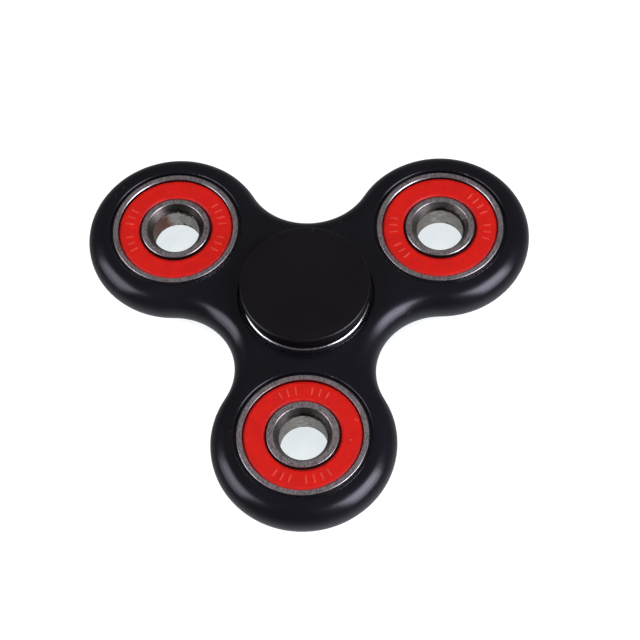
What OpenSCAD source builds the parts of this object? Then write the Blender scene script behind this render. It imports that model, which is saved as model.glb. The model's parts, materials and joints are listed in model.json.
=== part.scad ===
// Three-arm fidget spinner: one moulded frame, four 608-size ball bearings and two finger caps.
// Z = 0 is the middle plane, the spin axis is Z, and the front arm points along -Y.

/* [Frame] */
// Distance from the spin axis to the axis of each outer bearing
arm_radius = 26.458; // [26:0.001:28]
// Radius of the rounded lobe at the end of each arm
lobe_radius = 15.45; // [15.2:0.05:16.2]
// Thickness of the frame
frame_thickness = 7; // [7:0.1:9]
// Rounding of the frame's outer edges
edge_radius = 3.4; // [1:0.1:3.4]
// Width of the shallow groove in the frame round each bearing
seat_groove = 0.4; // [0.2:0.05:0.6]

/* [Bearings] */
// Outside diameter of a bearing
bearing_d = 22; // [21.8:0.1:22.2]
// Bore of a bearing
bore_d = 8; // [7.5:0.1:8.4]
// Width of a bearing
bearing_width = 7; // [6.8:0.1:7.4]
// Number of balls in a bearing
ball_count = 7; // [5:1:8]
// Diameter of a ball
ball_d = 3.969; // [3.9:0.001:3.97]
// Radius of the circle that the ball centres lie on
pitch_radius = 7.5; // [7.48:0.01:7.52]
// Lead-in chamfer at each end of the inner ring's bore
bore_chamfer = 0.8; // [0.3:0.1:0.9]
// Width of the bevel on the hub bearing's outer corners
hub_bevel = 0.3; // [0.2:0.05:0.6]

/* [Finger caps] */
// Radius of a cap
cap_radius = 11.1; // [9:0.1:11.4]
// Thickness of a cap's disc
cap_thickness = 2; // [1.5:0.1:3]
// Height of the boss that holds the disc clear of the bearing
cap_gap = 1.4; // [0.8:0.1:2]
// Rounding of the cap's rim
cap_rim = 0.35; // [0.2:0.05:0.7]
// Depth of the finger dish in the cap's face
dish_depth = 0.5; // [0.2:0.1:0.8]
// Radius of the finger dish
dish_radius = 9.4; // [7:0.1:9.6]
// Length of the stub that is pressed into the bearing's bore
stub_length = 3.2; // [2:0.1:3.3]

/* [Hidden] */
$fn = 96;

// Directions of the arms about the spin axis
front_angle = -90;
right_angle = 30;
left_angle = 150;
ARM_ANGLES = [front_angle, right_angle, left_angle];

// Frame
half_thickness = frame_thickness / 2;
mouth_round = 0.35;
groove_depth = 0.6;
// The centres of the three lobes and the three hollow necks are the corners of a regular hexagon,
// so each neck's circle is tangent to the lobes on both sides of it
neck_radius = arm_radius - lobe_radius;
lobe_sweep = 240;
neck_sweep = 120;

// Bearing
half_width = bearing_width / 2;
bearing_radius = bearing_d / 2;
bore_radius = bore_d / 2;
ball_radius = ball_d / 2;
groove_radius = 2.06;
groove_clearance = 0.015;
ring_chamfer = 0.2;
bevel_slope = 0.85;
lip_radius = 10;
lip_depth = 0.1;
seal_radius = 9.9;
seal_recess = 0.3;
seal_thickness = 0.55;
seal_inner = 6.06;
seal_edge_width = 0.5;
seal_edge_drop = 0.22;
outer_shoulder = 9;
inner_shoulder = 6.05;
inner_face_radius = 6;
inner_face_break = 0.12;
bore_chamfer_depth = bore_chamfer * 1.55;
cage_inner = 6.75;
cage_outer = 8.25;
cage_bottom = -2.5;
cage_top = 0.9;
pocket_clearance = 0.045;

// Cap
cap_underside = half_width + cap_gap;
cap_face = cap_underside + cap_thickness;
boss_radius = 5.6;
stub_chamfer = 0.3;
dish_sphere = (pow(dish_radius, 2) + pow(dish_depth, 2)) / (2 * dish_depth);

// Colours
frame_black = [0.04, 0.04, 0.045];
cap_black = [0.045, 0.04, 0.042];
ring_steel = [0.55, 0.55, 0.56];
ball_steel = [0.75, 0.75, 0.77];
cage_cream = [0.82, 0.79, 0.7];
seal_red = [0.78, 0.1, 0.09];

// Half of a rounded-edge bar's section, from x = 0 to x = reach, rounded at the far end
module rounded_section(reach) {
  difference() {
    translate([0, -half_thickness])
      square([reach, frame_thickness]);
    for (side = [-1, 1])
      difference() {
        translate([reach - edge_radius, side * (half_thickness - edge_radius / 2 + 0.5)])
          translate([0, -edge_radius / 2 - 0.5])
            square([edge_radius + 1, edge_radius + 1]);
        translate([reach - edge_radius, side * (half_thickness - edge_radius)])
          circle(r = edge_radius);
      }
  }
}

// Section of a neck's rolled edge, measured outwards from the neck's own centre
module neck_section() {
  translate([neck_radius + edge_radius, 0])
    mirror([1, 0])
      rounded_section(edge_radius);
}

// Point on the hexagon's circle at an angle about the spin axis
function hexagon_corner(angle) = [arm_radius * cos(angle), arm_radius * sin(angle)];

// Rounded end of one arm, as a sector about the outer bearing's axis
module lobe(angle) {
  translate(hexagon_corner(angle))
    rotate_extrude(angle = lobe_sweep, start = angle - lobe_sweep / 2)
      rounded_section(lobe_radius);
}

// Hollow curve between two arms
module neck(angle) {
  translate(hexagon_corner(angle))
    rotate_extrude(angle = neck_sweep, start = angle + 180 - neck_sweep / 2)
      neck_section();
}

// Flat middle of the frame, between the lobes and the necks
module web() {
  difference() {
    translate([0, 0, -half_thickness])
      linear_extrude(height = frame_thickness)
        polygon([for (i = [0:5]) hexagon_corner(front_angle + 60 * i)]);
    for (angle = ARM_ANGLES)
      translate(hexagon_corner(angle + 60))
        cylinder(h = frame_thickness + 2, r = neck_radius + edge_radius, center = true);
  }
}

// Through hole that a bearing is pressed into, with a shallow groove and a rounded mouth on both faces
module bearing_seat() {
  mouth_radius = bearing_radius + seat_groove;
  cylinder(h = frame_thickness + 2, r = bearing_radius, center = true);
  for (side = [0, 1])
    mirror([0, 0, side])
      rotate_extrude()
        difference() {
          translate([0, half_thickness - groove_depth])
            square([mouth_radius + mouth_round, groove_depth + 1]);
          translate([mouth_radius + mouth_round, half_thickness - mouth_round])
            circle(r = mouth_round);
          translate([mouth_radius, half_thickness - groove_depth - 1])
            square([mouth_round + 1, groove_depth + 1 - mouth_round]);
        }
}

// Places its children on the axis of one outer bearing
module at_arm(angle) {
  translate(hexagon_corner(angle))
    children();
}

// One-piece moulded frame
module body() {
  color(frame_black)
    difference() {
      union() {
        web();
        for (angle = ARM_ANGLES) {
          lobe(angle);
          neck(angle + 60);
        }
      }
      bearing_seat();
      for (angle = ARM_ANGLES)
        at_arm(angle)
          bearing_seat();
    }
}

// Finger cap: a dished disc, a boss that sits on the inner ring and a stub pressed into its bore
module cap() {
  difference() {
    rotate_extrude()
      polygon([
        [0, half_width - stub_length],
        [bore_radius - stub_chamfer, half_width - stub_length],
        [bore_radius, half_width - stub_length + stub_chamfer],
        [bore_radius, half_width],
        [boss_radius, half_width],
        [boss_radius, cap_underside],
        [cap_radius - cap_rim, cap_underside],
        [cap_radius - cap_rim * (1 - sin(30)), cap_underside + cap_rim * (1 - cos(30))],
        [cap_radius - cap_rim * (1 - sin(60)), cap_underside + cap_rim * (1 - cos(60))],
        [cap_radius, cap_underside + cap_rim],
        [cap_radius, cap_face - cap_rim],
        [cap_radius - cap_rim * (1 - sin(60)), cap_face - cap_rim * (1 - cos(60))],
        [cap_radius - cap_rim * (1 - sin(30)), cap_face - cap_rim * (1 - cos(30))],
        [cap_radius - cap_rim, cap_face],
        [0, cap_face]
      ]);
    translate([0, 0, cap_face - dish_depth + dish_sphere])
      sphere(r = dish_sphere, $fn = 180);
  }
}

module upper_cap() {
  color(cap_black)
    cap();
}

module lower_cap() {
  color(cap_black)
    mirror([0, 0, 1])
      cap();
}

// Outer ring with its ball groove, its seal seats and bevelled corners
module outer_ring(bevel = ring_chamfer) {
  seat_floor = half_width - seal_recess - seal_thickness;
  bevel_depth = bevel * bevel_slope;
  color(ring_steel)
    rotate_extrude()
      difference() {
        polygon([
          [bearing_radius, -half_width + bevel_depth],
          [bearing_radius, half_width - bevel_depth],
          [bearing_radius - bevel, half_width],
          [lip_radius, half_width],
          [seal_radius, half_width - lip_depth],
          [seal_radius, seat_floor],
          [outer_shoulder, seat_floor],
          [outer_shoulder, -seat_floor],
          [seal_radius, -seat_floor],
          [seal_radius, -half_width + lip_depth],
          [lip_radius, -half_width],
          [bearing_radius - bevel, -half_width]
        ]);
        translate([pitch_radius + ball_radius + groove_clearance - groove_radius, 0])
          circle(r = groove_radius);
      }
}

// Inner ring with its ball groove, stepped ends and a wide lead-in at each end of the bore
module inner_ring() {
  step = half_width - 1.1;
  color(ring_steel)
    rotate_extrude()
      difference() {
        polygon([
          [bore_radius, -half_width + bore_chamfer_depth],
          [bore_radius + bore_chamfer, -half_width],
          [inner_face_radius - inner_face_break, -half_width],
          [inner_face_radius, -half_width + inner_face_break],
          [inner_face_radius, -step],
          [inner_shoulder, -step + 0.1],
          [inner_shoulder, step - 0.1],
          [inner_face_radius, step],
          [inner_face_radius, half_width - inner_face_break],
          [inner_face_radius - inner_face_break, half_width],
          [bore_radius + bore_chamfer, half_width],
          [bore_radius, half_width - bore_chamfer_depth]
        ]);
        translate([pitch_radius - ball_radius - groove_clearance + groove_radius, 0])
          circle(r = groove_radius);
      }
}

// Places its children at every ball of one bearing
module at_each_ball() {
  for (i = [0:ball_count - 1])
    rotate([0, 0, 360 / ball_count * i])
      translate([pitch_radius, 0, 0])
        children();
}

module balls() {
  color(ball_steel)
    at_each_ball()
      sphere(r = ball_radius);
}

// Crown retainer that spaces the balls, open towards +Z
module cage() {
  color(cage_cream)
    difference() {
      translate([0, 0, cage_bottom])
        difference() {
          cylinder(h = cage_top - cage_bottom, r = cage_outer);
          translate([0, 0, -1])
            cylinder(h = cage_top - cage_bottom + 2, r = cage_inner);
        }
      at_each_ball()
        sphere(r = ball_radius + pocket_clearance);
    }
}

// Rubber seal that closes one face of a bearing, sloping down at its rim and next to the inner ring
module seal() {
  seal_top = half_width - seal_recess;
  seal_bottom = seal_top - seal_thickness;
  color(seal_red)
    rotate_extrude()
      polygon([
        [seal_inner, seal_bottom],
        [seal_radius, seal_bottom],
        [seal_radius, seal_top - seal_edge_drop],
        [seal_radius - seal_edge_width, seal_top],
        [seal_inner + seal_edge_width, seal_top],
        [seal_inner, seal_top - seal_edge_drop]
      ]);
}

module lower_seal() {
  mirror([0, 0, 1])
    seal();
}

// Centre bearing
module centre_outer_ring() {
  outer_ring(hub_bevel);
}

module centre_inner_ring() {
  inner_ring();
}

module centre_balls() {
  balls();
}

module centre_cage() {
  cage();
}

module centre_upper_seal() {
  seal();
}

module centre_lower_seal() {
  lower_seal();
}

// Front bearing
module front_outer_ring() {
  at_arm(front_angle)
    outer_ring();
}

module front_inner_ring() {
  at_arm(front_angle)
    inner_ring();
}

module front_balls() {
  at_arm(front_angle)
    balls();
}

module front_cage() {
  at_arm(front_angle)
    cage();
}

module front_upper_seal() {
  at_arm(front_angle)
    seal();
}

module front_lower_seal() {
  at_arm(front_angle)
    lower_seal();
}

// Left bearing
module left_outer_ring() {
  at_arm(left_angle)
    outer_ring();
}

module left_inner_ring() {
  at_arm(left_angle)
    inner_ring();
}

module left_balls() {
  at_arm(left_angle)
    balls();
}

module left_cage() {
  at_arm(left_angle)
    cage();
}

module left_upper_seal() {
  at_arm(left_angle)
    seal();
}

module left_lower_seal() {
  at_arm(left_angle)
    lower_seal();
}

// Right bearing
module right_outer_ring() {
  at_arm(right_angle)
    outer_ring();
}

module right_inner_ring() {
  at_arm(right_angle)
    inner_ring();
}

module right_balls() {
  at_arm(right_angle)
    balls();
}

module right_cage() {
  at_arm(right_angle)
    cage();
}

module right_upper_seal() {
  at_arm(right_angle)
    seal();
}

module right_lower_seal() {
  at_arm(right_angle)
    lower_seal();
}

body();
upper_cap();
lower_cap();
centre_outer_ring();
centre_inner_ring();
centre_balls();
centre_cage();
centre_upper_seal();
centre_lower_seal();
front_outer_ring();
front_inner_ring();
front_balls();
front_cage();
front_upper_seal();
front_lower_seal();
left_outer_ring();
left_inner_ring();
left_balls();
left_cage();
left_upper_seal();
left_lower_seal();
right_outer_ring();
right_inner_ring();
right_balls();
right_cage();
right_upper_seal();
right_lower_seal();
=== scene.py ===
"""Three-arm fidget spinner: looks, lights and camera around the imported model."""
import json
import math

import bmesh
import bpy
from mathutils import Matrix, Vector


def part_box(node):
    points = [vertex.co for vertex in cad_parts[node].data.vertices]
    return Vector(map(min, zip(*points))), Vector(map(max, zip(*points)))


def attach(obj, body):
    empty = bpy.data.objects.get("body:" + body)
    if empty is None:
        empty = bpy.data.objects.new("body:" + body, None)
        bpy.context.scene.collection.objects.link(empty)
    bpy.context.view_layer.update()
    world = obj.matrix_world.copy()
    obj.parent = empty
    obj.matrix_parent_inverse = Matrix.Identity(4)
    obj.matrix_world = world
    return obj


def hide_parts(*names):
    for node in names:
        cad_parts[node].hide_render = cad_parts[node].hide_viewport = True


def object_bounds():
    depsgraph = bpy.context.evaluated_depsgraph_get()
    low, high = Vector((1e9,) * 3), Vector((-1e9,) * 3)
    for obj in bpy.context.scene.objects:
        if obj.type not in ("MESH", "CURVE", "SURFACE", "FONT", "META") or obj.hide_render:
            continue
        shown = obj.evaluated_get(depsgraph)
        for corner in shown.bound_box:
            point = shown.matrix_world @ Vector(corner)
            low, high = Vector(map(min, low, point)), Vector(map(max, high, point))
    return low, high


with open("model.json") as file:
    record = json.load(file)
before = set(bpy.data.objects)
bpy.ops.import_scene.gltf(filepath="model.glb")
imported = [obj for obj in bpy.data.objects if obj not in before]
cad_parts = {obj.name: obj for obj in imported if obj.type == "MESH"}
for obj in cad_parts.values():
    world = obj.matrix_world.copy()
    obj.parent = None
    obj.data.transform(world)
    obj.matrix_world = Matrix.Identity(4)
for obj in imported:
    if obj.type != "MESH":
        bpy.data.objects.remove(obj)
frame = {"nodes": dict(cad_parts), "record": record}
cad_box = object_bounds()
MM = 0.001
SEGMENTS = 192

# ---------------------------------------------------------------- places, all read from the frame
# Sizes of the object are in millimetres, and MM turns them into Blender's metres.


def middle(node):
    """Centre of a CAD node's box, in metres."""
    low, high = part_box(node)
    return (low + high) / 2


def radius_of(node):
    """Half of a round CAD node's width, in millimetres."""
    low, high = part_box(node)
    return (high.x - low.x) / 2 / MM


CAGE_HALF_WALL = 0.75
SEAL_SPREAD = 0.08  # the seals reach this far past the CAD's own

BEARINGS = ["centre", "front", "left", "right"]
AXES = {name: middle(name + "_outer_ring") for name in BEARINGS}
INNER_BODY = {
    "centre": "hub",
    "front": "front_inner",
    "left": "left_inner",
    "right": "right_inner",
}
RING_R = radius_of("centre_outer_ring")
HALF_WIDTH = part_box("centre_outer_ring")[1].z / MM
SEAL_R = radius_of("centre_upper_seal") + SEAL_SPREAD
SEAL_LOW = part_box("centre_upper_seal")[0].z / MM
SEAL_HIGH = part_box("centre_upper_seal")[1].z / MM
SHOULDER_R = radius_of("centre_inner_ring")
CAP_R = radius_of("upper_cap")
CAP_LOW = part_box("upper_cap")[0].z / MM
CAP_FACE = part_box("upper_cap")[1].z / MM
BALL_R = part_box("centre_balls")[1].z / MM
PITCH_R = radius_of("centre_cage") - CAGE_HALF_WALL
BORE = next(m for m in frame["record"]["mounts"] if m["name"] == "front_bore")
BORE_R = BORE["dims"]["r_mm"]

# ---------------------------------------------------------------- sizes of the details

# Ball groove of both rings
GROOVE_R = 2.06
GROOVE_GAP = 0.015

# Outer ring: corners as (r, z, rounding), and the lip of the seal's seat
HUB_RING_CORNER = [(RING_R, HALF_WIDTH, 0.62)]
RING_CORNER = [(RING_R, HALF_WIDTH - 0.35, 0.1), (RING_R - 0.12, HALF_WIDTH, 0.15)]
OUTER_SHOULDER_R = 9.0
LIP_DEPTH = 0.13
LIP_ROUND = {"centre": 0.05, "front": 0.06, "left": 0.12, "right": 0.13}

# Inner ring: face, step beside the seal, and lead-ins of the bore
FACE_R = 6.0
FACE_ROUND = {"centre": 0.1, "front": 0.1, "left": 0.28, "right": 0.32}
STEP_DEPTH = 1.1
LEAD_DEPTH = HALF_WIDTH - BORE["dims"]["length_mm"] / 2 + 0.2
LEAD_WIDTH = {"centre": 0.88, "front": 0.88, "left": 0.98, "right": 0.92}

# Seal: groove beside the inner ring, and raised marks on the face
MOUTH_WIDTH = 0.28
MARK_R = 8.1
MARK_LENGTH = 1.5
MARK_WIDTH = 0.34
MARK_HEIGHT = 0.13
MARK_BEVEL = 0.08
MARK_STEP = 9.5  # degrees
MARK_ARCS = ((0, 7), (180, 8))  # middle of each arc in degrees, and how many places it has
MARK_GAP = 3  # the place in each arc that stays empty
MARK_TURN = {"centre": 0, "front": 90, "left": 182, "right": 196}

# Finger cap
DISC_THICKNESS = 2.0
BOSS_R = 5.6
DISH_R = 9.4
DISH_DEPTH = 0.5
DISH_STEPS = 12
DISH_EDGE = 0.9  # the dish's own arc stops this far inside its rim

# Rust in the bores, and dirt with painted shade on their lead-ins, from 0 to 1
RUST = {"centre": 0.2, "front": 0.15, "left": 0.95, "right": 0.25}
LEAD_IN_DIRT_AND_SHADE = {"centre": 0.4, "front": 0.55, "left": 0.8, "right": 0.3}

# ---------------------------------------------------------------- turned pieces


def turned_outline(corners, closed=True, arc_step=12):
    """Rounds the corners (r, z, rounding) of an anticlockwise outline.

    Gives points as (r, z, normal r, normal z). An open outline starts on the axis at the
    bottom and ends on it at the top.
    """
    count = len(corners)
    points = []
    for i, (r, z, radius) in enumerate(corners):
        if not closed and i in (0, count - 1):
            points.append((r, z, 0, -1 if i == 0 else 1))
            continue
        here = Vector((r, z))
        before = Vector(corners[i - 1][:2]) - here
        after = Vector(corners[(i + 1) % count][:2]) - here
        to_before, to_after = before.normalized(), after.normalized()
        normal_in = Vector((-to_before.y, to_before.x))
        normal_out = Vector((to_after.y, -to_after.x))
        if radius == 0:
            normal = (normal_in + normal_out).normalized()
            points.append((r, z, normal.x, normal.y))
            continue
        half = to_before.angle(to_after) / 2
        reach = min(radius / math.tan(half), 0.49 * min(before.length, after.length))
        radius = reach * math.tan(half)
        start = here + to_before * reach
        turn = math.pi - 2 * half
        steps = max(2, math.ceil(math.degrees(turn) / arc_step))
        convex = to_before.x * to_after.y - to_before.y * to_after.x < 0
        sign = 1 if convex else -1
        core = start - sign * radius * normal_in
        for k in range(steps + 1):
            angle = sign * turn * k / steps
            normal = Vector((
                normal_in.x * math.cos(angle) - normal_in.y * math.sin(angle),
                normal_in.x * math.sin(angle) + normal_in.y * math.cos(angle),
            ))
            spot = core + sign * radius * normal
            points.append((spot.x, spot.y, normal.x, normal.y))
    return points


def turned_piece(name, outline, axis, flip=False, closed=True, extra=()):
    """Spins an outline about the vertical line through axis; flip turns it upside down.

    Each extra shape, as (points, faces, normals), becomes part of the same mesh.
    """
    if flip:
        outline = [(r, -z, nr, -nz) for r, z, nr, nz in reversed(outline)]
    verts, normals, faces, rows = [], [], [], []
    for r, z, nr, nz in outline:
        height = axis.z + z * MM
        if r < 1e-9:
            rows.append([len(verts)] * SEGMENTS)
            verts.append((axis.x, axis.y, height))
            normals.append((0, 0, nz))
            continue
        rows.append([len(verts) + k for k in range(SEGMENTS)])
        for k in range(SEGMENTS):
            a = math.tau * k / SEGMENTS
            verts.append((axis.x + r * MM * math.cos(a), axis.y + r * MM * math.sin(a), height))
            normals.append((nr * math.cos(a), nr * math.sin(a), nz))
    pairs = list(zip(rows, rows[1:]))
    if closed:
        pairs.append((rows[-1], rows[0]))
    for low, high in pairs:
        for k in range(SEGMENTS):
            n = (k + 1) % SEGMENTS
            ring = [low[k], low[n], high[n], high[k]]
            faces.append([v for i, v in enumerate(ring) if v != ring[i - 1]])
    for more_verts, more_faces, more_normals in extra:
        base = len(verts)
        verts += more_verts
        normals += more_normals
        faces += [[base + v for v in face] for face in more_faces]
    mesh = bpy.data.meshes.new(name)
    mesh.from_pydata(verts, [], faces)
    mesh.polygons.foreach_set("use_smooth", [True] * len(faces))
    mesh.normals_split_custom_set_from_vertices(normals)
    mesh.update()
    piece = bpy.data.objects.new(name, mesh)
    bpy.context.scene.collection.objects.link(piece)
    return piece


def arc_points(centre_r, start, stop, steps=18):
    """Points of a ball groove's arc in the outline's plane, with no rounding of their own."""
    spots = []
    for k in range(1, steps):
        a = math.radians(start + (stop - start) * k / steps)
        spots.append((centre_r + GROOVE_R * math.cos(a), GROOVE_R * math.sin(a), 0))
    return spots


def mirrored(corners):
    """The same corners on the other side of the middle plane."""
    return [(r, -z, rounding) for r, z, rounding in reversed(corners)]


def outer_ring_outline(corner, lip):
    """Outer ring: corners, flat ground faces, lipped seal seats and a ball groove."""
    centre = PITCH_R + BALL_R + GROOVE_GAP - GROOVE_R
    groove_z = math.sqrt(GROOVE_R ** 2 - (OUTER_SHOULDER_R - centre) ** 2)
    edge = math.degrees(math.asin(groove_z / GROOVE_R))
    half = corner + [
        (SEAL_R + lip, HALF_WIDTH, 0.06),
        (SEAL_R, HALF_WIDTH - LIP_DEPTH, 0.04),
        (SEAL_R, SEAL_LOW, 0.04),
        (OUTER_SHOULDER_R, SEAL_LOW, 0.08),
        (OUTER_SHOULDER_R, groove_z, 0.05),
    ]
    return turned_outline(half + arc_points(centre, edge, -edge) + mirrored(half))


def inner_ring_outline(face_round, lead_width):
    """Inner ring: stepped ends, a steep lead-in at each end of the bore and a ball groove."""
    centre = PITCH_R - BALL_R - GROOVE_GAP + GROOVE_R
    groove_z = math.sqrt(GROOVE_R ** 2 - (centre - SHOULDER_R) ** 2)
    edge = math.degrees(math.asin(groove_z / GROOVE_R))
    step = HALF_WIDTH - STEP_DEPTH
    half = [
        (SHOULDER_R, groove_z, 0.05),
        (SHOULDER_R, step - 0.1, 0.05),
        (FACE_R, step, 0.05),
        (FACE_R, HALF_WIDTH, face_round),
        (BORE_R + lead_width, HALF_WIDTH, 0.18),
        (BORE_R, HALF_WIDTH - LEAD_DEPTH, 0.4),
    ]
    return turned_outline(half + mirrored(half) + arc_points(centre, 180 + edge, 180 - edge))


def seal_outline():
    """Seal: flat face that rolls down at its rim and into a narrow groove by the inner ring."""
    lip, mouth = FACE_R + 0.02, FACE_R + MOUTH_WIDTH
    rim = SEAL_R - 0.13
    return turned_outline([
        (lip, SEAL_LOW, 0.05),
        (SEAL_R, SEAL_LOW, 0.03),
        (SEAL_R, SEAL_LOW + 0.1, 0.03),
        (rim, SEAL_LOW + 0.12, 0.03),
        (rim, SEAL_HIGH - 0.18, 0.1),
        (rim - 0.4, SEAL_HIGH, 0.9),
        (mouth + 0.36, SEAL_HIGH, 0.6),
        (mouth, SEAL_HIGH - 0.24, 0.08),
        (mouth - 0.02, SEAL_LOW + 0.1, 0.03),
        (lip, SEAL_LOW + 0.1, 0.03),
    ])


def cap_outline():
    """Finger cap: dished face, rolled rim, boss on the inner ring and a stub in its bore."""
    underside = CAP_FACE - DISC_THICKNESS
    dish_ball = (DISH_R ** 2 + DISH_DEPTH ** 2) / (2 * DISH_DEPTH)
    corners = [
        (0, CAP_LOW, 0),
        (BORE_R - 0.3, CAP_LOW, 0.1),
        (BORE_R, CAP_LOW + 0.3, 0.1),
        (BORE_R, HALF_WIDTH, 0.03),
        (BOSS_R, HALF_WIDTH, 0.05),
        (BOSS_R, underside, 0.15),
        (CAP_R, underside, 0.3),
        (CAP_R, CAP_FACE, 0.32),
        (DISH_R, CAP_FACE, 0.5),
    ]
    for k in range(DISH_STEPS, -1, -1):
        r = (DISH_R - DISH_EDGE) * k / DISH_STEPS
        rise = dish_ball - math.sqrt(dish_ball ** 2 - r ** 2)
        corners.append((r, CAP_FACE - DISH_DEPTH + rise, 0))
    return turned_outline(corners, closed=False)


def raised_mark(axis, angle):
    """Small raised bar with rounded ends and bevelled sides, set radially on a seal's face."""
    along = Vector((math.cos(angle), math.sin(angle), 0))
    across = Vector((-along.y, along.x, 0))
    sections = [
        (0, -0.04),
        (0, 0.3 * MARK_HEIGHT),
        (MARK_BEVEL / 2, 0.8 * MARK_HEIGHT),
        (MARK_BEVEL, MARK_HEIGHT),
    ]
    per_end = 6
    verts, faces, normals = [], [], []
    for inset, z in sections:
        lift = inset / MARK_BEVEL
        half = MARK_WIDTH / 2 - inset
        for end in (1, -1):
            for k in range(per_end + 1):
                a = math.pi * (k / per_end - 0.5)
                x = end * (MARK_LENGTH / 2 - MARK_WIDTH / 2 + half * math.cos(a))
                y = end * half * math.sin(a)
                spot = axis + (along * (MARK_R + x) + across * y) * MM
                verts.append((spot.x, spot.y, axis.z + (SEAL_HIGH + z) * MM))
                side = (along * end * math.cos(a) + across * end * math.sin(a))
                normal = side * (1 - lift) + Vector((0, 0, 1)) * (0.15 + lift)
                normals.append(tuple(normal.normalized()))
    ring = 2 * (per_end + 1)
    for s in range(len(sections) - 1):
        for k in range(ring):
            n = (k + 1) % ring
            faces.append([s * ring + k, s * ring + n, (s + 1) * ring + n, (s + 1) * ring + k])
    last = (len(sections) - 1) * ring
    faces.append([last + k for k in range(ring)])
    faces.append([k for k in reversed(range(ring))])
    return verts, faces, normals


def seal_marks(axis, turn, flip):
    """The two arcs of raised marks on one seal; flip puts them on its underside."""
    marks = []
    for arc, count in MARK_ARCS:
        for k in range(count):
            if k == MARK_GAP:
                continue
            angle = math.radians(turn + arc + (k - (count - 1) / 2) * MARK_STEP)
            verts, faces, normals = raised_mark(axis, angle)
            if flip:
                verts = [(x, y, 2 * axis.z - z) for x, y, z in verts]
                faces = [list(reversed(face)) for face in faces]
                normals = [(x, y, -z) for x, y, z in normals]
            marks.append((verts, faces, normals))
    return marks


# ---------------------------------------------------------------- node helpers

def node_material(name):
    """New material, its node tree and its Principled shader."""
    mat = bpy.data.materials.new(name)
    mat.use_nodes = True
    tree = mat.node_tree
    return mat, tree, tree.nodes["Principled BSDF"]


def object_coords(tree, stretch=None, lay=0):
    """Object coordinates, scaled along each axis by stretch and turned by lay degrees."""
    coords = tree.nodes.new("ShaderNodeTexCoord").outputs["Object"]
    if stretch is None:
        return coords
    node = tree.nodes.new("ShaderNodeMapping")
    node.inputs["Scale"].default_value = stretch
    node.inputs["Rotation"].default_value[2] = math.radians(lay)
    tree.links.new(coords, node.inputs["Vector"])
    return node.outputs["Vector"]


def noise(tree, vector, scale, detail=3.0, roughness=0.5):
    """Noise of about scale features to the metre."""
    node = tree.nodes.new("ShaderNodeTexNoise")
    node.inputs["Scale"].default_value = scale
    node.inputs["Detail"].default_value = detail
    node.inputs["Roughness"].default_value = roughness
    tree.links.new(vector, node.inputs["Vector"])
    return node.outputs["Fac"]


def ramp(tree, value, stops):
    """Colour ramp through (position, colour) stops."""
    node = tree.nodes.new("ShaderNodeValToRGB")
    elements = node.color_ramp.elements
    while len(elements) < len(stops):
        elements.new(0.5)
    for element, (position, colour) in zip(elements, stops):
        element.position = position
        element.color = (*colour, 1)
    tree.links.new(value, node.inputs["Fac"])
    return node.outputs["Color"]


def spread(tree, value, low, high, to_low, to_high):
    """Maps low..high to to_low..to_high, held at the ends."""
    node = tree.nodes.new("ShaderNodeMapRange")
    node.inputs["From Min"].default_value = low
    node.inputs["From Max"].default_value = high
    node.inputs["To Min"].default_value = to_low
    node.inputs["To Max"].default_value = to_high
    tree.links.new(value, node.inputs["Value"])
    return node.outputs["Result"]


def math_node(tree, operation, *values):
    """Math node on sockets and numbers."""
    node = tree.nodes.new("ShaderNodeMath")
    node.operation = operation
    for socket, value in zip(node.inputs, values):
        if isinstance(value, (int, float)):
            socket.default_value = value
        else:
            tree.links.new(value, socket)
    return node.outputs[0]


def product(tree, *values):
    """Product of two or more sockets or numbers."""
    result = values[0]
    for value in values[1:]:
        result = math_node(tree, "MULTIPLY", result, value)
    return result


def mixed(tree, factor, a, b):
    """Colour between a and b, each a socket or a plain colour."""
    node = tree.nodes.new("ShaderNodeMix")
    node.data_type = "RGBA"
    tree.links.new(factor, node.inputs["Factor"])
    for socket, value in (("A", a), ("B", b)):
        target = [s for s in node.inputs if s.name == socket and s.type == "RGBA"][0]
        if isinstance(value, tuple):
            target.default_value = (*value, 1)
        else:
            tree.links.new(value, target)
    return [s for s in node.outputs if s.type == "RGBA"][0]


def bump(tree, height, strength, distance, normal=None):
    """Bump from a height socket, on top of another normal where one is given."""
    node = tree.nodes.new("ShaderNodeBump")
    node.inputs["Strength"].default_value = strength
    node.inputs["Distance"].default_value = distance
    tree.links.new(height, node.inputs["Height"])
    if normal is not None:
        tree.links.new(normal, node.inputs["Normal"])
    return node.outputs["Normal"]


def dust_specks(tree, coords, scale, inner, outer, strength=1):
    """Round specks of dust: strength inside the inner size, 0 past the outer one."""
    specks = tree.nodes.new("ShaderNodeTexVoronoi")
    specks.inputs["Scale"].default_value = scale
    tree.links.new(coords, specks.inputs["Vector"])
    return spread(tree, specks.outputs["Distance"], inner, outer, strength, 0)


# ---------------------------------------------------------------- materials

PLASTIC_DUST = (0.16, 0.15, 0.15)
PLASTIC_SCUFF = (0.05, 0.048, 0.052)
RUBBER_DUST = (0.75, 0.55, 0.50)
RUST_BROWN = (0.17, 0.052, 0.026)
# Near-black for dirt and painted shade on the lead-ins of the bores
DIRT_AND_SHADE_BLACK = (0.05, 0.042, 0.036)


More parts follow.
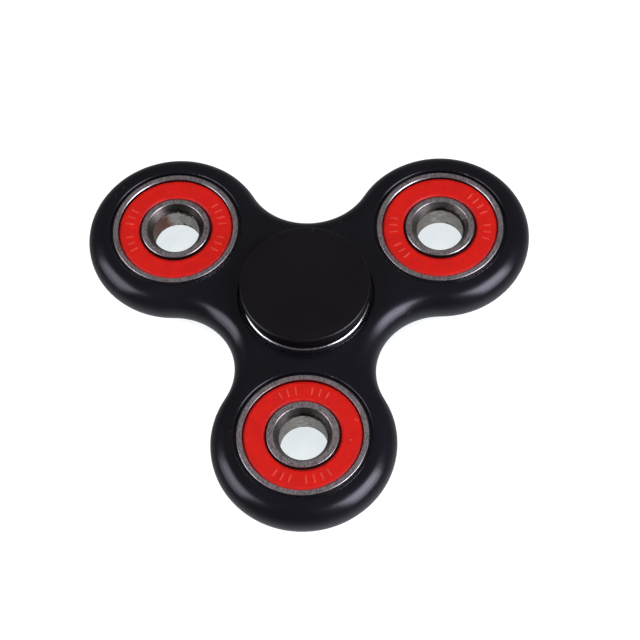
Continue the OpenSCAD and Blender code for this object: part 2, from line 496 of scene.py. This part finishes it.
def black_plastic(name, tint, roughness, dust):
    """Moulded black plastic: cloudy gloss, fine grain, hairline scuffs and a little dust."""
    mat, tree, shader = node_material(name)
    link = tree.links.new
    coords = object_coords(tree)
    cloud = noise(tree, coords, 110, 4)
    darker, lighter = [c * 0.85 for c in tint], [c * 1.2 for c in tint]
    colour = ramp(tree, cloud, [(0.35, darker), (0.7, lighter)])
    dusty_places = spread(tree, noise(tree, coords, 160, 2), 0.57, 0.61, 0, dust)
    dusty = product(tree, dust_specks(tree, coords, 420, 0.02, 0.06), dusty_places)
    colour = mixed(tree, dusty, colour, PLASTIC_DUST)
    hairlines = noise(tree, object_coords(tree, (1, 0.08, 1)), 1500, 1)
    scuff_lines = spread(tree, hairlines, 0.70, 0.76, 0, 1)
    scuffed_places = spread(tree, noise(tree, coords, 75, 2), 0.60, 0.68, 0, 0.5)
    scuffs = product(tree, scuff_lines, scuffed_places)
    link(mixed(tree, scuffs, colour, PLASTIC_SCUFF), shader.inputs["Base Color"])
    rough = spread(tree, cloud, 0.3, 0.7, roughness - 0.03, roughness + 0.04)
    rough = math_node(tree, "ADD", rough, product(tree, scuffs, 0.3))
    link(rough, shader.inputs["Roughness"])
    grain = bump(tree, noise(tree, coords, 2600, 2), 0.06, 0.02 * MM)
    link(bump(tree, cloud, 0.05, 0.1 * MM, grain), shader.inputs["Normal"])
    shader.inputs["IOR"].default_value = 1.5
    return mat


def ground_steel(name, dark, light, roughness, grit_scale, contrast, depth, stretch=None, lay=0):
    """Bearing steel, ground and slightly pitted; stretch draws the grain out into streaks."""
    mat, tree, shader = node_material(name)
    link = tree.links.new
    shader.inputs["Metallic"].default_value = 1
    coords = object_coords(tree, stretch, lay)
    grit = noise(tree, coords, grit_scale, 4, 0.6)
    patches = noise(tree, coords, 700, 3)
    blend = math_node(tree, "ADD", product(tree, grit, 0.7), product(tree, patches, 0.3))
    colour = ramp(tree, blend, [(contrast[0], dark), (contrast[1], light)])
    link(colour, shader.inputs["Base Color"])
    rough = spread(tree, blend, 0.35, 0.68, roughness + 0.12, roughness - 0.08)
    link(rough, shader.inputs["Roughness"])
    link(bump(tree, grit, depth, 0.04 * MM), shader.inputs["Normal"])
    return mat


def bore_with_rust_dirt_and_shade(name, axis, rust, dirt_and_shade):
    """Bore of an inner ring: streaked steel, rust on the -X side, and ragged dirt with painted
    shade on the lead-ins.
    """
    mat = ground_steel(
        name,
        dark=(0.12, 0.112, 0.095),
        light=(0.58, 0.55, 0.48),
        roughness=0.34,
        grit_scale=1500,
        contrast=(0.33, 0.64),
        depth=0.5,
        stretch=(1, 1, 5),
    )
    tree = mat.node_tree
    target = tree.nodes["Principled BSDF"].inputs["Base Color"]
    steel = target.links[0].from_socket
    coords = object_coords(tree)
    split = tree.nodes.new("ShaderNodeSeparateXYZ")
    tree.links.new(coords, split.inputs[0])
    height = math_node(tree, "ABSOLUTE", split.outputs["Z"])
    ragged = spread(tree, noise(tree, coords, 900, 5, 0.65), 0.3, 0.7, -dirt_and_shade * MM, dirt_and_shade * MM)
    level = math_node(tree, "ADD", height, ragged)
    edge = (HALF_WIDTH - LEAD_DEPTH) * MM
    above = spread(tree, level, edge - 0.3 * MM, edge - 0.1 * MM, 0, 1)
    below = spread(tree, level, edge + 0.3 * MM, edge + 0.7 * MM, 1, dirt_and_shade)
    reach = BORE_R * MM
    across = spread(tree, split.outputs["X"], axis.x - reach, axis.x + reach, 0, 1)
    uneven = spread(tree, noise(tree, coords, 420, 4), 0.3, 0.7, -0.16, 0.16)
    across = math_node(tree, "ADD", across, uneven)
    # Dirt and painted shade: darkest in a ragged band where the lead-in meets the bore, less on
    # the -X side, which the right lamp lights.
    dirt_and_shade_mask = product(tree, above, below, spread(tree, across, 0.1, 0.5, 0.35, 1))
    patch = spread(tree, across, 0.16, 0.38, rust, 0)
    patch = product(tree, patch, spread(tree, level, edge - 0.3 * MM, edge, 1, 0.15))
    steel = mixed(tree, patch, steel, RUST_BROWN)
    tree.links.new(mixed(tree, dirt_and_shade_mask, steel, DIRT_AND_SHADE_BLACK), target)
    return mat


def red_rubber(name, dark, light):
    """Moulded red rubber: fine grain, faint clouding and a few specks of dust."""
    mat, tree, shader = node_material(name)
    link = tree.links.new
    coords = object_coords(tree)
    cloud = noise(tree, coords, 500, 5)
    colour = ramp(tree, cloud, [(0.3, dark), (0.7, light)])
    dusty_places = spread(tree, noise(tree, coords, 420, 2), 0.66, 0.69, 0, 1)
    dusty = product(tree, dust_specks(tree, coords, 900, 0.05, 0.11, 0.6), dusty_places)
    link(mixed(tree, dusty, colour, RUBBER_DUST), shader.inputs["Base Color"])
    link(spread(tree, cloud, 0.3, 0.7, 0.52, 0.42), shader.inputs["Roughness"])
    grain = bump(tree, noise(tree, coords, 5000, 2), 0.08, 0.02 * MM)
    link(bump(tree, cloud, 0.12, 0.06 * MM, grain), shader.inputs["Normal"])
    shader.inputs["IOR"].default_value = 1.45
    return mat


def cage_nylon(name, dark, light):
    """Natural moulded nylon with a cloudy, slightly waxy surface."""
    mat, tree, shader = node_material(name)
    link = tree.links.new
    cloud = noise(tree, object_coords(tree), 600, 4)
    link(ramp(tree, cloud, [(0.3, dark), (0.7, light)]), shader.inputs["Base Color"])
    link(spread(tree, cloud, 0.3, 0.7, 0.55, 0.42), shader.inputs["Roughness"])
    link(bump(tree, cloud, 0.1, 0.05 * MM), shader.inputs["Normal"])
    return mat


FRAME_PLASTIC = black_plastic(
    "frame_black_plastic", tint=(0.0062, 0.0058, 0.0085), roughness=0.23, dust=0.5)
CAP_PLASTIC = black_plastic(
    "cap_black_plastic", tint=(0.0052, 0.0042, 0.0046), roughness=0.30, dust=0.9)
FACE_STEEL = ground_steel(
    "ground_steel_faces", dark=(0.19, 0.170, 0.155), light=(0.80, 0.73, 0.68), roughness=0.48,
    grit_scale=3600, contrast=(0.37, 0.63), depth=0.45, stretch=(1.3, 0.6, 1), lay=35)
BEVEL_STEEL = ground_steel(
    "polished_steel_bevels", dark=(0.32, 0.31, 0.30), light=(0.70, 0.67, 0.64), roughness=0.28,
    grit_scale=1800, contrast=(0.3, 0.7), depth=0.1)
GROOVE_STEEL = ground_steel(
    "polished_steel_groove", dark=(0.5, 0.5, 0.5), light=(0.7, 0.7, 0.7), roughness=0.2,
    grit_scale=1500, contrast=(0.3, 0.7), depth=0.05)
# Near-black steel for the seal seats, the inner rings' necks and the hub ring's face: painted
# shade in recesses and under the cap.
SHADE_DARK_STEEL = ground_steel(
    "painted_shade_dark_steel", dark=(0.025, 0.022, 0.02), light=(0.12, 0.10, 0.09), roughness=0.4,
    grit_scale=1500, contrast=(0.3, 0.7), depth=0.2)
BALL_STEEL = ground_steel(
    "polished_ball_steel", dark=(0.66, 0.66, 0.67), light=(0.80, 0.80, 0.82), roughness=0.08,
    grit_scale=900, contrast=(0.3, 0.7), depth=0.01)
RUBBER = red_rubber("red_rubber", dark=(0.76, 0.008, 0.003), light=(0.90, 0.013, 0.005))
# Near-black red rubber for the groove by the inner ring: painted shade in the recess.
MOUTH_SHADE_RUBBER = red_rubber(
    "painted_shade_red_rubber", dark=(0.10, 0.006, 0.004), light=(0.16, 0.010, 0.006))
# Lighter, more orange rubber on the raised marks: wear, plus a painted highlight where their
# raised edges catch light.
WORN_HIGHLIT_RUBBER = red_rubber("worn_highlit_red_rubber", dark=(0.88, 0.050, 0.026), light=(0.95, 0.080, 0.042))
NYLON = cage_nylon("cage_nylon", dark=(0.68, 0.62, 0.50), light=(0.80, 0.76, 0.66))

# The frame, balls and cages show as they are; the other nodes are replaced further down.
NODE_MATERIALS = {"body": FRAME_PLASTIC, "balls": BALL_STEEL, "cage": NYLON}
for name, obj in frame["nodes"].items():
    kind = name.split("_", 1)[-1]
    obj.data.materials.clear()
    obj.data.materials.append(NODE_MATERIALS.get(kind, FACE_STEEL))

# ---------------------------------------------------------------- pieces


def place(piece, node, body):
    """Puts a finished piece in the place of its CAD node."""
    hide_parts(node)
    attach(piece, body)


def paint_by_place(piece, axis, finishes, choose):
    """Gives each face the finish that choose(radius, height, slope) names."""
    names = list(finishes)
    for finish in names:
        piece.data.materials.append(finishes[finish])
    for face in piece.data.polygons:
        spot = face.center - axis
        radius = math.hypot(spot.x, spot.y) / MM
        finish = choose(radius, abs(spot.z) / MM, abs(face.normal.z))
        face.material_index = names.index(finish)


def outer_finish(radius, height, slope):
    if radius < SEAL_R + 0.01 and height < HALF_WIDTH - LIP_DEPTH:
        return "seat" if height > SEAL_LOW else "groove"
    return "face" if slope > 0.97 else "corner"


def inner_finish(radius, height, slope):
    if radius > FACE_R - 0.1 and height < HALF_WIDTH - 0.1:
        return "neck" if height > SEAL_LOW else "groove"
    if slope > 0.985:
        return "face"
    return "bore" if radius < BORE_R + min(LEAD_WIDTH.values()) - 0.04 else "corner"


def seal_finish(radius, height, slope):
    if height > SEAL_HIGH + 0.03:
        return "mark"
    return "mouth" if radius < FACE_R + MOUTH_WIDTH + 0.02 else "face"


for name in BEARINGS:
    axis = AXES[name]
    in_hub = name == "centre"
    corner = HUB_RING_CORNER if in_hub else RING_CORNER
    outer = turned_piece(
        name + "_outer_ring_turned", outer_ring_outline(corner, LIP_ROUND[name]), axis)
    # The hub ring's face under the cap and the seal seats under the lips take the painted-shade
    # steel.
    finishes = {
        "face": SHADE_DARK_STEEL if in_hub else FACE_STEEL,
        "corner": GROOVE_STEEL if in_hub else BEVEL_STEEL,
        "groove": GROOVE_STEEL,
        "seat": SHADE_DARK_STEEL,
    }
    paint_by_place(outer, axis, finishes, outer_finish)
    place(outer, name + "_outer_ring", "spinner")
    inner = turned_piece(
        name + "_inner_ring_turned", inner_ring_outline(FACE_ROUND[name], LEAD_WIDTH[name]), axis)
    # The inner ring's neck in the groove beside the seal takes the painted-shade steel.
    finishes = {
        "face": FACE_STEEL,
        "corner": BEVEL_STEEL,
        "bore": bore_with_rust_dirt_and_shade("bore_steel_rust_dirt_shade_" + name, axis, RUST[name], LEAD_IN_DIRT_AND_SHADE[name]),
        "groove": GROOVE_STEEL,
        "neck": SHADE_DARK_STEEL,
    }
    paint_by_place(inner, axis, finishes, inner_finish)
    place(inner, name + "_inner_ring", INNER_BODY[name])
    # In the groove by the inner ring the seal takes painted shade; the raised marks take wear and
    # a painted highlight.
    finishes = {"face": RUBBER, "mark": WORN_HIGHLIT_RUBBER, "mouth": MOUTH_SHADE_RUBBER}
    for side, flip in (("upper", False), ("lower", True)):
        marks = seal_marks(axis, MARK_TURN[name], flip)
        seal = turned_piece(
            f"{name}_{side}_seal_moulded", seal_outline(), axis, flip, extra=marks)
        paint_by_place(seal, axis, finishes, seal_finish)
        place(seal, f"{name}_{side}_seal", "spinner")

for side, flip in (("upper", False), ("lower", True)):
    cap = turned_piece(side + "_cap_moulded", cap_outline(), Vector((0, 0, 0)), flip, closed=False)
    cap.data.materials.append(CAP_PLASTIC)
    place(cap, side + "_cap", "hub")

# ---------------------------------------------------------------- floor and backdrop

FLOOR_Z = cad_box[0].z - 0.05 * MM  # just under the lower cap, so that no faces coincide
FLOOR_SIZE = 3.0
FLOOR_GREY = (0.15, 0.15, 0.15, 1)
FLOOR_SHADE = (0.650, 0.725, 0.752)
FLOOR_GLOW = 1.05
SHADE_REACH = 12 * MM
BACKDROP_DISTANCE = 2.5
BACKDROP_GREY = (0.9, 0.9, 0.9, 1)
WHITE = (1, 1, 1)


def stage_object(name, mesh, height):
    """Adds a mesh that isn't part of the object, at a height."""
    stage = bpy.data.objects.new(name, mesh)
    stage.location.z = height
    bpy.context.scene.collection.objects.link(stage)
    return stage


floor_mesh = bpy.data.meshes.new("floor")
builder = bmesh.new()
bmesh.ops.create_grid(builder, x_segments=1, y_segments=1, size=FLOOR_SIZE)
builder.to_mesh(floor_mesh)
builder.free()
floor = stage_object("floor", floor_mesh, FLOOR_Z)
floor.visible_glossy = False
mat, tree, shader = node_material("pale_floor")
shader.inputs["Base Color"].default_value = FLOOR_GREY
shader.inputs["Roughness"].default_value = 0.9
shader.inputs["Specular IOR Level"].default_value = 0
# Ambient occlusion dims the floor's glow under and beside the object down to FLOOR_SHADE: a
# painted shadow.
openness = tree.nodes.new("ShaderNodeAmbientOcclusion")
openness.inputs["Distance"].default_value = SHADE_REACH
glow = ramp(tree, openness.outputs["AO"], [(0.26, FLOOR_SHADE), (0.34, WHITE)])
tree.links.new(glow, shader.inputs["Emission Color"])
shader.inputs["Emission Strength"].default_value = FLOOR_GLOW
floor_mesh.materials.append(mat)

backdrop_mesh = bpy.data.meshes.new("backdrop")
builder = bmesh.new()
bmesh.ops.create_cone(
    builder, cap_ends=False, segments=96,
    radius1=BACKDROP_DISTANCE, radius2=BACKDROP_DISTANCE, depth=BACKDROP_DISTANCE)
builder.to_mesh(backdrop_mesh)
builder.free()
backdrop = stage_object("backdrop", backdrop_mesh, FLOOR_Z + BACKDROP_DISTANCE / 2)
backdrop.visible_glossy = False
backdrop.visible_diffuse = False
backdrop.visible_shadow = False
mat, tree, shader = node_material("pale_backdrop")
shader.inputs["Base Color"].default_value = BACKDROP_GREY
shader.inputs["Emission Color"].default_value = (*WHITE, 1)
shader.inputs["Emission Strength"].default_value = 1
backdrop_mesh.materials.append(mat)

# ---------------------------------------------------------------- sky and soft boxes

# Colours from straight down (0) to straight up (1), towards the front and the back
FRONT_SKY = [
    (0.12, (0.60, 0.62, 0.68)),
    (0.40, (0.21, 0.23, 0.25)),
    (0.55, (0.10, 0.094, 0.105)),
    (0.90, (0.10, 0.094, 0.105)),
]
BACK_SKY = [
    (0.12, (0.30, 0.33, 0.33)),
    (0.40, (0.18, 0.19, 0.20)),
    (0.55, (0.11, 0.104, 0.11)),
    (0.90, (0.12, 0.112, 0.12)),
    (0.95, (0.15, 0.142, 0.15)),
]
SKY_LEFT, SKY_RIGHT = 0.86, 1.16  # strength of the sky on either side

world = bpy.data.worlds.new("studio")
world.use_nodes = True
tree = world.node_tree
direction = tree.nodes.new("ShaderNodeSeparateXYZ")
tree.links.new(tree.nodes.new("ShaderNodeTexCoord").outputs["Generated"], direction.inputs[0])
level = spread(tree, direction.outputs["Z"], -1, 1, 0, 1)
towards_back = spread(tree, direction.outputs["Y"], -0.5, 0.5, 0, 1)
sky = mixed(tree, towards_back, ramp(tree, level, FRONT_SKY), ramp(tree, level, BACK_SKY))
strength = spread(tree, direction.outputs["X"], -0.6, 0.6, SKY_LEFT, SKY_RIGHT)
tree.links.new(sky, tree.nodes["Background"].inputs["Color"])
tree.links.new(strength, tree.nodes["Background"].inputs["Strength"])
bpy.context.scene.world = world

BOX_DISTANCE = 0.8
LEFT_TINT = (0.87, 0.825, 1)
RIGHT_TINT = (0.85, 0.82, 1)


def soft_box(name, azimuth, width, low, high, radiance, colour):
    """Area light that fills the given angles, in degrees, as seen from the object."""
    elevation = math.radians((low + high) / 2)
    away = BOX_DISTANCE * math.cos(elevation)
    data = bpy.data.lights.new(name, "AREA")
    data.shape = "RECTANGLE"
    data.size = 2 * away * math.tan(math.radians(width / 2))
    data.size_y = 2 * BOX_DISTANCE * math.tan(math.radians((high - low) / 2))
    data.energy = radiance * data.size * data.size_y * math.pi
    data.color = colour
    light = bpy.data.objects.new(name, data)
    turn = math.radians(azimuth)
    height = BOX_DISTANCE * math.sin(elevation)
    light.location = (away * math.cos(turn), away * math.sin(turn), height)
    light.rotation_mode = "QUATERNION"
    light.rotation_quaternion = (-light.location).to_track_quat("-Z", "Y")
    bpy.context.scene.collection.objects.link(light)


soft_box("box_left", -169, 42, low=7, high=54, radiance=2.0, colour=LEFT_TINT)
soft_box("box_left_core", -169, 40, low=24, high=49, radiance=1.8, colour=LEFT_TINT)
soft_box("box_right", -25, 45, low=11, high=60, radiance=3.6, colour=RIGHT_TINT)
soft_box("box_right_core", -25, 43, low=27, high=54, radiance=3.5, colour=RIGHT_TINT)

# ---------------------------------------------------------------- camera

AZIMUTH, ELEVATION, ROLL = math.radians(5.772), math.radians(60.17), math.radians(-5.387)
CAMERA_DISTANCE = 0.34593
SENSOR_WIDTH = 36
LENS = 114.632
SHIFT_X, SHIFT_Y = 0.02219, -0.04184

back = Vector((
    math.sin(AZIMUTH) * math.cos(ELEVATION),
    -math.cos(AZIMUTH) * math.cos(ELEVATION),
    math.sin(ELEVATION),
))
right = Vector((math.cos(AZIMUTH), math.sin(AZIMUTH), 0))
up = back.cross(right)
cam_x = math.cos(ROLL) * right + math.sin(ROLL) * up
cam_y = -math.sin(ROLL) * right + math.cos(ROLL) * up
cam_data = bpy.data.cameras.new("camera")
cam_data.sensor_width = SENSOR_WIDTH
cam_data.lens = LENS
cam_data.shift_x = SHIFT_X
cam_data.shift_y = SHIFT_Y
camera = bpy.data.objects.new("camera", cam_data)
bpy.context.scene.collection.objects.link(camera)
turned = Matrix((cam_x, cam_y, back)).transposed().to_4x4()
looked_at = Vector((0, 0, HALF_WIDTH * MM))
camera.matrix_world = Matrix.Translation(looked_at + back * CAMERA_DISTANCE) @ turned
bpy.context.scene.camera = camera
bpy.context.scene.view_settings.view_transform = "Standard"
